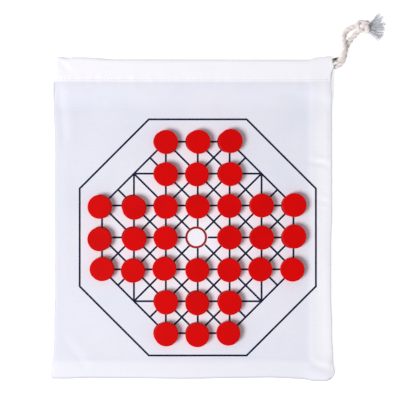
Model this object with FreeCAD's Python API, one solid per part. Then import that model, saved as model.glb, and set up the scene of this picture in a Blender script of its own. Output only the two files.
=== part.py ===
import FreeCAD, Part
import math
import os

from FreeCAD import Vector

# A flat cotton drawstring bag with a jumping game printed on its front, and the game's counters.
#
# The bag lies on its back. +Z is up, +Y runs to the mouth, and +X runs from the fold to the sewn
# side. The origin is on the table, under the middle of the bag. One length of cloth is folded at
# the left, sewn along the bottom and the right, and hemmed at the mouth into a casing that holds
# the drawstring. The front casing lies over the back one, and their two runs of cord lie side by
# side, so that the flat bag stays thin. Columns of the board are a to g from the left, and rows
# are 1 to 7 from the mouth.

# --- Driving dimensions, in millimetres and degrees -------------------------------------------

# The printed board, which sets the size of the bag.
SPACE_PITCH = 25.4            # from one space to the next
BORDER_MARGIN = 17.8          # from the outermost line of spaces to the octagonal border
LINE_WIDTH = 1.5
INK = 0.1                     # how far a printed line stands above the cloth
LINE_STOP = 1.4               # the lines stop this far inside a counter's edge, and at its ring
RING_INSET = 0.75             # the ring round a space lies this far inside a counter's edge
RING_WIDTH = 1.8
RED_SHIFT = -1.25             # the rings are printed second, a little to the left
ARM_REACH = 3                 # spaces from the middle of the cross to the end of an arm
ARM_HALF = 1                  # an arm is this many spaces wide each side of its middle
LATTICE_REACH = 4             # the lattice stops where column and row steps add up to this
UNPRINTED_DIAGONAL = 3        # row minus column of the one rising diagonal left out

# The cloth.
CLOTH = 0.5                   # one layer
LEFT_MARGIN = 19.5            # from the border to the fold
RIGHT_MARGIN = 13.5           # from the border to the sewn side
BOTTOM_MARGIN = 17.0          # from the border to the bottom seam
TOP_MARGIN = 7.0              # from the border to where the front starts to rise
RISE_LENGTH = 23.0            # the front rises over this length to the casing
HEM_DEPTH = 19.0              # from the mouth to the hem's turned edge
SIDE_ALLOWANCE = 16.0         # cloth turned inside at the right seam
BOTTOM_ALLOWANCE = 12.5       # cloth turned inside at the bottom seam

# The sewing.
THREAD = 0.4                  # width of a stitch
THREAD_PROUD = 0.2            # how far a hem stitch stands above the cloth
HEM_STITCH_INSET = 1.2        # from the hem's turned edge to its row of stitches
STITCH_PITCH = 2.8
STITCH_LENGTH = 2.2

# The drawstring.
CORD = 3.6                    # diameter
CORD_PLAY = 0.1               # clearance above and below the cord in its casing
CORD_SIDE_PLAY = 0.25         # clearance at each side of it
LEFT_TURN = 10.5              # between the two runs of cord where they turn at the fold
ARC_SHARE = 0.45              # an arc's tangent length, as a share of the shorter run

# The knot and the frayed ends beyond it, placed from the front run's exit.
KNOT_PLACE = Vector(24.6, 27.0, 0)
KNOT_HALF = Vector(5.1, 5.4, 3.8)
TABLE_CLEARANCE = 0.1         # under the knot
TASSEL_PLACE = Vector(26.0, 26.4, 0)
TASSEL_REACH = 16.0
TASSEL_INNER = 4.45
TASSEL_HEIGHT = 4.5
TASSEL_FROM = -44.0
TASSEL_SPREAD = 91.0

# The counters.
COUNTER_DIAMETER = 19.0
COUNTER_HEIGHT = 5.0
COUNTER_ROUND = 0.6

# Where a counter lies off the middle of its space, as a share of the gap between neighbours. A
# player sets them down by hand, so they are a little uneven. One that isn't named is in the middle.
HAND_PLACED = {
    "c1": (0.05, -0.08), "d1": (0.10, -0.05), "e1": (0.10, 0.05),
    "c2": (0.05, -0.10), "d2": (-0.10, -0.12), "e2": (0.08, -0.08),
    "a3": (-0.22, -0.16), "b3": (0.08, -0.28), "c3": (0.02, -0.18),
    "d3": (0.00, -0.15), "e3": (-0.04, -0.06), "g3": (0.05, 0.05),
    "a4": (-0.24, -0.20), "b4": (0.12, -0.16), "c4": (0.00, -0.04), "g4": (0.03, 0.14),
    "a5": (0.08, 0.08), "b5": (-0.08, -0.12), "c5": (-0.16, 0.12), "d5": (-0.06, -0.06),
    "e5": (-0.08, -0.05), "f5": (-0.20, 0.04), "g5": (-0.20, 0.02),
    "c6": (0.06, -0.08), "d6": (-0.06, -0.18), "e6": (0.02, -0.14),
    "c7": (0.08, -0.04), "d7": (-0.04, -0.14), "e7": (-0.18, 0.06),
}

# The free ends of the drawstring leave straight out of the casings, and go on to the knot: how
# far each corner point is from the exit along X and Y, and how far the cord is lifted off the
# table there. The front end lies on the back one where both turn up beside the bag.
EXIT_RUN = 2.2
FRONT_TAIL = [
    (5.8, 1.5, 2.7), (7.6, 4.5, 3.6), (8.4, 8.2, 3.7), (8.4, 12.2, 3.0), (8.0, 16.6, 1.2),
    (8.6, 20.8, 0.0), (10.9, 24.3, 0.1), (15.1, 26.4, 0.5), (20.0, 28.1, 1.3),
]
BACK_TAIL = [
    (4.4, 1.1, 0.1), (7.3, 3.7, 0.0), (8.8, 7.7, 0.0), (9.4, 12.3, 0.0), (10.7, 16.9, 0.0),
    (13.8, 21.5, 0.0), (17.4, 25.8, 0.3), (21.1, 29.5, 1.1),
]

# --- What follows from them -------------------------------------------------------------------

border_half = ARM_REACH * SPACE_PITCH + BORDER_MARGIN
bag_width = LEFT_MARGIN + 2 * border_half + RIGHT_MARGIN
bag_length = BOTTOM_MARGIN + 2 * border_half + TOP_MARGIN + RISE_LENGTH + HEM_DEPTH

left = -bag_width / 2
right = bag_width / 2
bottom = -bag_length / 2
mouth = bag_length / 2
inner_left = left + CLOTH
inner_right = right - CLOTH
inner_bottom = bottom + CLOTH
board_centre = Vector(left + LEFT_MARGIN + border_half, bottom + BOTTOM_MARGIN + border_half, 0)
hem_edge = mouth - HEM_DEPTH
rise_start = hem_edge - RISE_LENGTH
hem_stitch_y = hem_edge + HEM_STITCH_INSET

# Heights of the layers. The two panels lie a double allowance apart.
half_thickness = 2 * CLOTH
front_under = 3 * CLOTH
front_top = 4 * CLOTH
ink_top = front_top + INK

counter_radius = COUNTER_DIAMETER / 2
ring_radius = counter_radius - RING_INSET

# Heights in the casings. The back cord's hump lifts the front casing off the back one.
cord_room = CORD + 2 * CORD_PLAY
back_cord_z = CLOTH + cord_room / 2
back_hump_top = 2 * CLOTH + cord_room
front_cord_z = 3 * CLOTH + cord_room / 2
casing_top = 4 * CLOTH + cord_room
mouth_round = (casing_top - half_thickness) / 2

# The front run lies in the mouth's fold, and the back run beside it.
front_cord_y = mouth - mouth_round
cord_half = CORD / 2 + CORD_SIDE_PLAY
hump_half = cord_half + CLOTH
back_exit_y = front_cord_y - 2 * hump_half
turn_x = inner_left + CORD_PLAY + CORD / 2
turn_y = front_cord_y - LEFT_TURN
front_turn = Vector(turn_x, front_cord_y, front_cord_z)
back_turn = Vector(turn_x, turn_y, back_cord_z)
front_exit = Vector(right, front_cord_y, front_cord_z)
back_exit = Vector(right, back_exit_y, back_cord_z)


# --- Helpers ----------------------------------------------------------------------------------

def block(x0, x1, y0, y1, z0, z1):
    """A box between two corners."""
    return Part.makeBox(x1 - x0, y1 - y0, z1 - z0, Vector(x0, y0, z0))


def along_x(radius, x0, x1, y, z):
    """A round bar along X."""
    return Part.makeCylinder(radius, x1 - x0, Vector(x0, y, z), Vector(1, 0, 0))


def side_prism(outline, x0, x1):
    """A side outline of (y, z) corners, extruded along X."""
    wire = Part.makePolygon([Vector(x0, y, z) for y, z in outline + outline[:1]])
    return Part.Face(wire).extrude(Vector(x1 - x0, 0, 0))


def back_run_y(x):
    """Where the back run of cord lies: it slants from the turn at the fold up to its exit."""
    return turn_y + (back_exit_y - turn_y) * (x - turn_x) / (right - turn_x)


def beside_back_run(from_run, to_run, z0, z1, upper=None):
    """A slab along the back run, between two offsets from it, or up to a straight edge."""
    def far_y(x):
        return back_run_y(x) + to_run if upper is None else upper
    corners = [
        Vector(inner_left, back_run_y(inner_left) + from_run, z0),
        Vector(right, back_run_y(right) + from_run, z0),
        Vector(right, far_y(right), z0),
        Vector(inner_left, far_y(inner_left), z0),
    ]
    face = Part.Face(Part.makePolygon(corners + corners[:1]))
    return face.extrude(Vector(0, 0, z1 - z0))


def fused(shapes):
    """One solid from touching or overlapping solids."""
    return shapes[0].multiFuse(shapes[1:]).removeSplitter()


def routed(points, name):
    """Straight runs joined by tangent arcs, each as large as its two runs allow."""
    edges = []
    radii = []
    start = points[0]
    for before, corner, after in zip(points, points[1:], points[2:]):
        back = before - corner
        ahead = after - corner
        shorter = min(back.Length, ahead.Length)
        back.normalize()
        ahead.normalize()
        half_turn = (math.pi - back.getAngle(ahead)) / 2
        tangent = ARC_SHARE * shorter
        radius = tangent / math.tan(half_turn)
        middle_way = (back + ahead).normalize()
        entry = corner + back * tangent
        leave = corner + ahead * tangent
        middle = corner + middle_way * (radius / math.cos(half_turn) - radius)
        edges.append(Part.LineSegment(start, entry).toShape())
        edges.append(Part.Arc(entry, middle, leave).toShape())
        radii.append(round(radius, 1))
        start = leave
    edges.append(Part.LineSegment(start, points[-1]).toShape())
    print(name, "bend radii in mm:", radii)
    return Part.Wire(edges)


def cord_along(points, name):
    """A round cord along a route, with its volume compared with its section times its length."""
    path = routed(points, name)
    heading = points[1] - points[0]
    section = Part.Wire(Part.Circle(points[0], heading, CORD / 2).toShape())
    solid = path.makePipeShell([section], True, False)
    expected = math.pi * (CORD / 2) ** 2 * path.Length
    print(name, "length", round(path.Length, 1), "volume ratio", round(solid.Volume / expected, 4))
    return solid


def stitches(start, step_way, room, across, depth):
    """A row of equal stitches that starts at a corner and runs along X or Y for a given room."""
    count = int(room // STITCH_PITCH)
    row = []
    for index in range(count):
        corner = start + step_way * (index * STITCH_PITCH + (STITCH_PITCH - STITCH_LENGTH) / 2)
        size = step_way * STITCH_LENGTH + across
        row.append(Part.makeBox(size.x, size.y, depth, corner))
    return Part.makeCompound(row)


def write(node, shape):
    """Checks a piece and writes it under its node's name."""
    if not shape.isValid() or shape.Volume <= 0:
        raise ValueError(node + " isn't a sound solid")
    shape.exportStep("parts/" + node + ".step")


# --- The cloth --------------------------------------------------------------------------------

def back_panel():
    """The back, from the bottom seam to its hem, with the lower half of both sewn edges."""
    sheet = block(inner_left, right, bottom, hem_edge, 0, CLOTH)
    side = block(inner_right, right, bottom, hem_edge, CLOTH, half_thickness)
    foot = block(inner_left, right, bottom, inner_bottom, CLOTH, half_thickness)
    return fused([sheet, side, foot])


def front_panel():
    """The front, flat under the board and rising to its hem, with its half of both sewn edges."""
    rise_top = casing_top - CLOTH
    sheet = side_prism([
        (bottom, front_under), (rise_start, front_under), (hem_edge, rise_top),
        (hem_edge, casing_top), (rise_start, front_top), (bottom, front_top),
    ], inner_left, right)
    side = side_prism([
        (bottom, half_thickness), (hem_edge, half_thickness), (hem_edge, rise_top),
        (rise_start, front_under), (bottom, front_under),
    ], inner_right, right)
    foot = block(inner_left, right, bottom, inner_bottom, half_thickness, front_under)
    return fused([sheet, side, foot])


def left_fold():
    """The folded side, which closes the bag from the bottom seam to the mouth."""
    wall = side_prism([
        (bottom, 0), (mouth - CLOTH, 0), (mouth - CLOTH, half_thickness),
        (front_cord_y, half_thickness), (front_cord_y, casing_top), (hem_edge, casing_top),
        (rise_start, front_top), (bottom, front_top),
    ], left, inner_left)
    back_mouth = along_x(CLOTH, left, inner_left, mouth - CLOTH, CLOTH)
    front_mouth = along_x(mouth_round, left, inner_left, front_cord_y, front_cord_z)
    return fused([wall, back_mouth, front_mouth])


def turn_room():
    """The space at the fold where the cord turns from the front casing into the back one."""
    straight_from = turn_x + LEFT_TURN / 2
    low_y = back_run_y(inner_left) - cord_half
    return block(inner_left, straight_from, low_y, front_cord_y, CLOTH, casing_top - CLOTH)


def back_casing():
    """The back's hem: flat, with a hump over the back run of cord."""
    flat = block(inner_left, right, hem_edge, mouth - CLOTH, 0, half_thickness)
    fold = along_x(CLOTH, inner_left, right, mouth - CLOTH, CLOTH)
    hump = beside_back_run(-hump_half, hump_half, 0, back_hump_top)
    tunnel = beside_back_run(-cord_half, cord_half, CLOTH, CLOTH + cord_room)
    return fused([flat, fold, hump]).cut([tunnel, turn_room()])


def front_casing():
    """The front's hem: it lies on the back's hump, and holds the front run in its fold."""
    lid = block(inner_left, right, hem_edge, front_cord_y, back_hump_top, casing_top)
    tube = beside_back_run(hump_half, None, half_thickness, casing_top, upper=front_cord_y)
    fold = along_x(mouth_round, inner_left, right, front_cord_y, front_cord_z)
    bore_low = front_under
    bore_high = casing_top - CLOTH
    tunnel = beside_back_run(hump_half + CLOTH, None, bore_low, bore_high, upper=front_cord_y)
    bore = along_x(cord_room / 2, inner_left, right, front_cord_y, front_cord_z)
    return fused([lid, tube, fold]).cut([tunnel, bore, turn_room()])


def right_seam_allowance():
    """The two raw edges turned inside at the right seam, above the bottom allowance."""
    outer = inner_right - THREAD
    low = inner_bottom + THREAD + BOTTOM_ALLOWANCE
    return block(outer - SIDE_ALLOWANCE, outer, low, hem_edge, CLOTH, front_under)


def bottom_seam_allowance():
    """The two raw edges turned inside at the bottom seam."""
    low = inner_bottom + THREAD
    return block(inner_left, inner_right, low, low + BOTTOM_ALLOWANCE, CLOTH, front_under)


# --- The sewing -------------------------------------------------------------------------------

def right_seam_thread():
    """The row of stitches inside the right seam."""
    low = inner_bottom + THREAD + BOTTOM_ALLOWANCE
    start = Vector(inner_right - THREAD, low, half_thickness - THREAD / 2)
    return stitches(start, Vector(0, 1, 0), hem_edge - low, Vector(THREAD, 0, 0), THREAD)


def bottom_seam_thread():
    """The row of stitches inside the bottom seam."""
    start = Vector(inner_left, inner_bottom, half_thickness - THREAD / 2)
    return stitches(start, Vector(1, 0, 0), inner_right - inner_left, Vector(0, THREAD, 0), THREAD)


def hem_thread(surface_z):
    """The row of stitches that closes a casing, lying on a surface of the cloth."""
    start = Vector(inner_left, hem_stitch_y - THREAD / 2, surface_z)
    return stitches(start, Vector(1, 0, 0), right - inner_left, Vector(0, THREAD, 0), THREAD_PROUD)


# --- The drawstring ---------------------------------------------------------------------------

def drawstring():
    """The length held in the casings: the front run, the turn at the fold, and the back run."""
    return cord_along([front_exit, front_turn, back_turn, back_exit], "drawstring")


def tail(exit_point, held_from, corners, name):
    """A free end of the drawstring: on from its held run, and then through corners to the knot."""
    heading = (exit_point - held_from).normalize()
    route = [exit_point, exit_point + heading * EXIT_RUN]
    for across, up, lift in corners:
        route.append(Vector(exit_point.x + across, exit_point.y + up, CORD / 2 + lift))
    return cord_along(route, name)


def from_exit(place, height):
    """A point that is placed from the front run's exit, at a height above the table."""
    return Vector(front_exit.x + place.x, front_exit.y + place.y, height)


def knot():
    """The space of the knot that ties both ends together."""
    ball = Part.makeSphere(1.0)
    stretch = FreeCAD.Matrix()
    stretch.scale(KNOT_HALF)
    placed = FreeCAD.Matrix()
    placed.move(from_exit(KNOT_PLACE, KNOT_HALF.z + TABLE_CLEARANCE))
    return ball.transformGeometry(placed * stretch)


def tassel():
    """The space of the frayed ends, which fan out past the knot."""
    root = from_exit(TASSEL_PLACE, 0)
    up = Vector(0, 0, 1)
    fan = Part.makeCylinder(TASSEL_REACH, TASSEL_HEIGHT, root, up, TASSEL_SPREAD)
    fan.rotate(root, up, TASSEL_FROM)
    return fan.cut(Part.makeCylinder(TASSEL_INNER, TASSEL_HEIGHT, root, up))


# --- The print --------------------------------------------------------------------------------

def spaces():
    """Every playing space as a name, and its column and row steps from the middle."""
    found = {}
    for row in range(-ARM_REACH, ARM_REACH + 1):
        for column in range(-ARM_REACH, ARM_REACH + 1):
            if min(abs(row), abs(column)) <= ARM_HALF:
                name = "abcdefg"[column + ARM_REACH] + str(ARM_REACH + 1 - row)
                found[name] = (column, row)
    return found


def on_board(column, row, z):
    """The point of the board that is so many steps from its middle."""
    return board_centre + Vector(column * SPACE_PITCH, row * SPACE_PITCH, z)


def octagon(half_width):
    """A prism of ink with eight equal sides, half_width from its middle to each."""
    corner_radius = half_width / math.cos(math.pi / 8)
    corners = []
    for index in range(9):
        angle = math.pi / 8 + index * math.pi / 4
        way = Vector(math.cos(angle), math.sin(angle), 0)
        corners.append(board_centre + way * corner_radius + Vector(0, 0, front_top))
    return Part.Face(Part.makePolygon(corners)).extrude(Vector(0, 0, INK))


def border_print():
    """The octagonal line round the board."""
    return octagon(border_half + LINE_WIDTH / 2).cut(octagon(border_half - LINE_WIDTH / 2))


def printed_line(start, end):
    """A straight line of ink between two points of the board."""
    run = end - start
    strip = Part.makeBox(run.Length, LINE_WIDTH, INK, Vector(0, -LINE_WIDTH / 2, 0))
    strip.rotate(Vector(0, 0, 0), Vector(0, 0, 1), math.degrees(math.atan2(run.y, run.x)))
    strip.translate(start)
    return strip


def lattice_lines():
    """The lattice's lines, each from one end to the other, in steps from the middle."""
    lines = []
    for step in range(-ARM_REACH, ARM_REACH + 1):
        reach = min(ARM_REACH, LATTICE_REACH - abs(step))
        lines.append(((-reach, step), (reach, step)))
        lines.append(((step, -reach), (step, reach)))
    for total in range(-LATTICE_REACH, LATTICE_REACH + 1):
        reach = min(LATTICE_REACH, 2 * ARM_REACH - abs(total))
        near = (total - reach) / 2
        far = (total + reach) / 2
        lines.append(((near, far), (far, near)))
        if total != UNPRINTED_DIAGONAL:
            lines.append(((-far, near), (-near, far)))
    return lines


def grid_print():
    """The lattice of straight and diagonal lines, open round each space."""
    strips = []
    for start, end in lattice_lines():
        strips.append(printed_line(on_board(*start, front_top), on_board(*end, front_top)))
    clearings = []
    for column, row in spaces().values():
        centre = on_board(column, row, front_top)
        clearings.append(Part.makeCylinder(counter_radius - LINE_STOP, INK, centre))
        clearings.append(Part.makeCylinder(ring_radius, INK, centre + Vector(RED_SHIFT, 0, 0)))
    return fused(strips).cut(clearings)


def rings_print():
    """The red ring round each space."""
    rings = []
    for column, row in spaces().values():
        centre = on_board(column, row, front_top) + Vector(RED_SHIFT, 0, 0)
        outside = Part.makeCylinder(ring_radius, INK, centre)
        rings.append(outside.cut(Part.makeCylinder(ring_radius - RING_WIDTH, INK, centre)))
    return Part.makeCompound(rings)


# --- The counters -----------------------------------------------------------------------------

def counter(name, column, row):
    """A round counter with eased edges, resting on the print where a player left it."""
    gap = SPACE_PITCH - COUNTER_DIAMETER
    across, up = HAND_PLACED.get(name, (0, 0))
    centre = on_board(column, row, ink_top) + Vector(across * gap, up * gap, 0)
    disc = Part.makeCylinder(counter_radius, COUNTER_HEIGHT, centre)
    rims = [edge for edge in disc.Edges if isinstance(edge.Curve, Part.Circle)]
    return disc.makeFillet(COUNTER_ROUND, rims)


# --- Everything -------------------------------------------------------------------------------

def main():
    """Builds every piece and writes it."""
    os.makedirs("parts", exist_ok=True)
    pieces = {
        "back_panel": back_panel(),
        "front_panel": front_panel(),
        "left_fold": left_fold(),
        "back_casing": back_casing(),
        "front_casing": front_casing(),
        "right_seam_allowance": right_seam_allowance(),
        "bottom_seam_allowance": bottom_seam_allowance(),
        "right_seam_thread": right_seam_thread(),
        "bottom_seam_thread": bottom_seam_thread(),
        "back_hem_thread": hem_thread(half_thickness),
        "front_hem_thread": hem_thread(casing_top),
        "drawstring": drawstring(),
        "front_tail": tail(front_exit, front_turn, FRONT_TAIL, "front_tail"),
        "back_tail": tail(back_exit, back_turn, BACK_TAIL, "back_tail"),
        "tail_knot": knot(),
        "tail_tassel": tassel(),
        "border_print": border_print(),
        "grid_print": grid_print(),
        "rings_print": rings_print(),
    }
    for name, (column, row) in spaces().items():
        if (column, row) != (0, 0):
            pieces["counter_" + name] = counter(name, column, row)
    for node, shape in pieces.items():
        write(node, shape)
    print("bag", bag_width, "by", bag_length, "mm,", len(pieces), "pieces")


main()
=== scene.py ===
"""Dresses a flat cotton drawstring bag with a jumping game printed on its front.

The bag lies on its back on a table, with the game's counters on its board. Everything is in metres, in
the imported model's own frame: +Z is up, +Y runs to the bag's mouth and +X runs from its fold to its sewn
side. The cloth, the sewing, the print and the cord are made here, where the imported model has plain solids
for them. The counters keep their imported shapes, and get their paint.
"""
from __future__ import annotations

import logging
import math
import random
from dataclasses import dataclass, field
from enum import Enum
from itertools import accumulate
from typing import Sequence

import bmesh
import bpy
from mathutils import Matrix, Vector, noise
from mathutils.bvhtree import BVHTree

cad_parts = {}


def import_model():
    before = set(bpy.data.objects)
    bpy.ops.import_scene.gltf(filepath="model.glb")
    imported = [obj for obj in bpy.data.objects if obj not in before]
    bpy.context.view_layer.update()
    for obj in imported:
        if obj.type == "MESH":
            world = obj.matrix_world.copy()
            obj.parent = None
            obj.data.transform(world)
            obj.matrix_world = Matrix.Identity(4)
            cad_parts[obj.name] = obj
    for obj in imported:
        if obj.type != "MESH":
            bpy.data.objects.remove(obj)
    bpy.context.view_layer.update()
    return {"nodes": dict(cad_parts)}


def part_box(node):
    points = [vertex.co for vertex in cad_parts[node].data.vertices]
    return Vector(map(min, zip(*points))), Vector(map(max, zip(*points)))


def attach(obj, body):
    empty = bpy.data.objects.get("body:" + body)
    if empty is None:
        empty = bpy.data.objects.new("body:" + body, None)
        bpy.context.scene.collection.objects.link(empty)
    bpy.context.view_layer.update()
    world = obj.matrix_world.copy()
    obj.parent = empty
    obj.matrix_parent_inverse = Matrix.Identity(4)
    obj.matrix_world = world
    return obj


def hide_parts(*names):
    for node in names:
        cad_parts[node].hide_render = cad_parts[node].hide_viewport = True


log = logging.getLogger("game_bag")

MM = 0.001
ABOVE_ALL = 50 * MM
BAG = "bag"

Rgb = tuple[float, float, float]
Pairs = tuple[tuple[float, float], ...]
Corners = tuple[tuple[float, float, float], ...]


# --- Small sums ---------------------------------------------------------------------------------------


def lerp(first: float, last: float, share: float) -> float:
    """Returns the number that lies a share of the way from first to last."""
    return first + (last - first) * share


def eased(low: float, high: float, value: float) -> float:
    """Returns 0 below low and 1 above high, with a soft step between them."""
    share = min(max((value - low) / (high - low), 0.0), 1.0)
    return share * share * (3.0 - 2.0 * share)


def stations(start: float, end: float, step: float) -> list[float]:
    """Returns even places from start towards end, without end itself, about a step apart."""
    count = max(1, round(abs(end - start) / step))
    return [lerp(start, end, index / count) for index in range(count)]


def shift_at(pairs: Pairs, place: float) -> float:
    """Reads a line of (place, shift) pairs, with soft steps between them.

    Args:
        pairs: the pairs in millimetres, in order of place.
        place: where to read the line, in metres.

    Returns:
        The shift there, in metres.
    """
    where = place / MM
    if where <= pairs[0][0]:
        return pairs[0][1] * MM
    for (low, first), (high, last) in zip(pairs, pairs[1:]):
        if where <= high:
            return lerp(first, last, eased(low, high, where)) * MM
    return pairs[-1][1] * MM


def in_metres(points: Corners) -> list[Vector]:
    """Returns points that were written in millimetres as vectors in metres."""
    return [Vector(point) * MM for point in points]


# --- The plan -----------------------------------------------------------------------------------------


@dataclass(frozen=True)
class BagPlan:
    """Where the bag's parts lie, in metres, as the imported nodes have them."""

    left: float
    right: float
    bottom: float
    mouth: float
    hem: float
    cloth: float
    panel_top: float
    casing_top: float
    hump_top: float
    stitch_y: float
    allowance_x: float
    allowance_y: float
    board: Vector
    cord: float = 3.6 * MM
    cord_side_play: float = 0.25 * MM
    cord_fold_play: float = 0.1 * MM
    turn_width: float = 10.5 * MM

    @classmethod
    def read(cls) -> "BagPlan":
        """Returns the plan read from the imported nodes' boxes."""
        fold_low, fold_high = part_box("left_fold")
        casing_low, casing_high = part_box("front_casing")
        print_low, print_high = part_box("border_print")
        thread_low, thread_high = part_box("front_hem_thread")
        return cls(
            left=fold_low.x,
            right=casing_high.x,
            bottom=fold_low.y,
            mouth=casing_high.y,
            hem=casing_low.y,
            cloth=fold_high.x - fold_low.x,
            panel_top=print_low.z,
            casing_top=casing_high.z,
            hump_top=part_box("back_casing")[1].z,
            stitch_y=(thread_low.y + thread_high.y) / 2,
            allowance_x=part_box("right_seam_allowance")[0].x,
            allowance_y=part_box("bottom_seam_allowance")[1].y,
            board=(print_low + print_high) / 2,
        )

    @property
    def mouth_round(self) -> float:
        """The outer radius of the front's fold at the mouth."""
        return (self.casing_top - 2 * self.cloth) / 2

    @property
    def hump_half(self) -> float:
        """Half the width of the back casing's hump over its cord."""
        return self.cord / 2 + self.cord_side_play + self.cloth

    @property
    def front_exit(self) -> Vector:
        """Where the cord leaves the front casing."""
        return Vector((self.right, self.mouth - self.mouth_round, self.casing_top - self.mouth_round))

    @property
    def back_exit(self) -> Vector:
        """Where the cord leaves the back casing."""
        return Vector((self.right, self.front_exit.y - 2 * self.hump_half, self.hump_top / 2))

    @property
    def front_turn(self) -> Vector:
        """Where the cord turns down at the fold, out of the front casing."""
        across = self.left + self.cloth + self.cord_fold_play + self.cord / 2
        return Vector((across, self.front_exit.y, self.front_exit.z))

    @property
    def back_turn(self) -> Vector:
        """Where the cord turns into the back casing at the fold."""
        return Vector((self.front_turn.x, self.front_turn.y - self.turn_width, self.back_exit.z))

    def back_run(self, across: float) -> float:
        """Returns how far up the bag the back run of cord lies, at a place across it."""
        share = (across - self.back_turn.x) / (self.right - self.back_turn.x)
        return lerp(self.back_turn.y, self.back_exit.y, share)


@dataclass(frozen=True)
class Outline:
    """How the laid bag's edges wander from a true rectangle.

    Each edge is a line of (place along the edge, outward shift) pairs, in millimetres.
    """

    left: Pairs = (
        (-127, 3.8), (-117, 3.2), (-112, 1.9), (-96, 1.1), (-82, 1.1), (-62, 0.4), (60, 0.4),
        (78, 1.2), (90, 1.7), (117, 1.5), (122, 0.8), (127, -0.4),
    )
    right: Pairs = (
        (-127, 1.8), (-121, 1.8), (-114, 0.4), (-105, 0.1), (-97, -0.6), (-82, -0.6), (-66, -1.4),
        (-18, -1.4), (-2, -0.6), (96, -0.7), (103, -1.8), (112, -2.0), (119, 0.4), (123, -0.8),
        (127, -2.0),
    )
    bottom: Pairs = (
        (-110, 1.7), (-100, 1.8), (-84, 1.2), (-50, 1.5), (-5, 1.9), (40, 1.2), (60, 0.9),
        (84, 1.8), (97, 3.8), (110, 3.6),
    )
    mouth: Pairs = (
        (-110, 0.4), (-105, 0.4), (-101, -0.5), (-96, 0.3), (-83, -0.1), (-62, -1.4), (20, -1.6),
        (91, -1.7), (98, 0.0), (110, 1.0),
    )
    reach: float = 24 * MM
    right_corner: float = 7.5 * MM
    left_corner: float = 1.4 * MM

    def rounded(self, place: Vector, corner: Vector, away: Vector, radius: float) -> None:
        """Rounds one square corner off in plan.

        Args:
            place: the point, which is moved.
            corner: the square corner.
            away: which way the corner points, as two signs.
            radius: the corner's new radius.
        """
        across = (place.x - corner.x) * away.x / radius + 1
        up = (place.y - corner.y) * away.y / radius + 1
        if across <= 0 or up <= 0:
            return
        pull = max(across, up) / math.hypot(across, up)
        place.x = corner.x + (across * pull - 1) * radius * away.x
        place.y = corner.y + (up * pull - 1) * radius * away.y

    def lay(self, plan: BagPlan, place: Vector) -> Vector:
        """Moves a point with the bag's edges.

        Args:
            plan: where the bag's parts lie.
            place: a point of the true rectangle's bag.

        Returns:
            The point on the laid bag, at the same height.
        """
        laid = place.copy()
        low_right = Vector((plan.right, plan.bottom, 0))
        low_left = Vector((plan.left, plan.bottom, 0))
        self.rounded(laid, low_right, Vector((1, -1, 0)), self.right_corner)
        self.rounded(laid, low_left, Vector((-1, -1, 0)), self.left_corner)
        x, y = laid.x, laid.y
        laid.x -= shift_at(self.left, y) * eased(plan.left + self.reach, plan.left, x)
        laid.x += shift_at(self.right, y) * eased(plan.right - self.reach, plan.right, x)
        laid.y -= shift_at(self.bottom, x) * eased(plan.bottom + self.reach, plan.bottom, y)
        laid.y += shift_at(self.mouth, x) * eased(plan.mouth - self.reach, plan.mouth, y)
        return laid


# --- Node trees ---------------------------------------------------------------------------------------


class Graph:
    """Adds nodes to one tree and joins their sockets."""

    def __init__(self, tree: bpy.types.NodeTree) -> None:
        """Keeps the tree that nodes are added to."""
        self.tree = tree

    def node(self, kind: str, **settings: object) -> bpy.types.Node:
        """Adds a node.

        Args:
            kind: the node's type, without its ShaderNode prefix.
            **settings: the node's own properties.

        Returns:
            The new node.
        """
        made = self.tree.nodes.new(kind if kind.startswith("Node") else "ShaderNode" + kind)
        for key, value in settings.items():
            setattr(made, key, value)
        return made

    def join(self, value: object, socket: bpy.types.NodeSocket) -> None:
        """Feeds a socket from another socket, or sets it to a plain value."""
        if isinstance(value, bpy.types.NodeSocket):
            self.tree.links.new(value, socket)
        else:
            socket.default_value = value

    def sum(self, operation: str, *values: object) -> bpy.types.NodeSocket:
        """Adds a Math node.

        Args:
            operation: the node's operation.
            *values: its inputs, as sockets or numbers.

        Returns:
            The node's value.
        """
        made = self.node("Math", operation=operation)
        for value, socket in zip(values, made.inputs):
            self.join(value, socket)
        return made.outputs["Value"]

    def noise(self, place: object, scale: object, detail: float = 2.0) -> bpy.types.NodeSocket:
        """Adds a Noise Texture node on a place, and returns its grey value."""
        made = self.node("TexNoise")
        for name, given in (("Vector", place), ("Scale", scale), ("Detail", detail)):
            self.join(given, made.inputs[name])
        return made.outputs["Fac"]

    def stretched(self, split: bpy.types.Node, across: object, up: object) -> bpy.types.NodeSocket:
        """Returns a flat place made from a split one, with its X and its Y each multiplied."""
        made = self.node("CombineXYZ")
        self.join(self.sum("MULTIPLY", split.outputs["X"], across), made.inputs["X"])
        self.join(self.sum("MULTIPLY", split.outputs["Y"], up), made.inputs["Y"])
        return made.outputs["Vector"]

    def between(self, value: object, low: float, high: float, first: float = 0.0,
                last: float = 1.0) -> bpy.types.NodeSocket:
        """Adds a clamped Map Range node.

        Args:
            value: the number to map.
            low: the number that becomes first.
            high: the number that becomes last.
            first: the result at low.
            last: the result at high.

        Returns:
            The mapped number.
        """
        made = self.node("MapRange")
        for name, given in (("Value", value), ("From Min", low), ("From Max", high),
                            ("To Min", first), ("To Max", last)):
            self.join(given, made.inputs[name])
        return made.outputs["Result"]

    def tint(self, mask: object, first: object, second: object) -> bpy.types.NodeSocket:
        """Mixes two colours by a mask.

        Args:
            mask: 0 for the first colour and 1 for the second.
            first: a colour or a socket.
            second: a colour or a socket.

        Returns:
            The mixed colour.
        """
        made = self.node("Mix", data_type="RGBA")
        factor, low, high = (made.inputs[index] for index in (0, 6, 7))
        self.join(mask, factor)
        self.join((*first, 1.0) if isinstance(first, tuple) else first, low)
        self.join((*second, 1.0) if isinstance(second, tuple) else second, high)
        return made.outputs[2]


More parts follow.
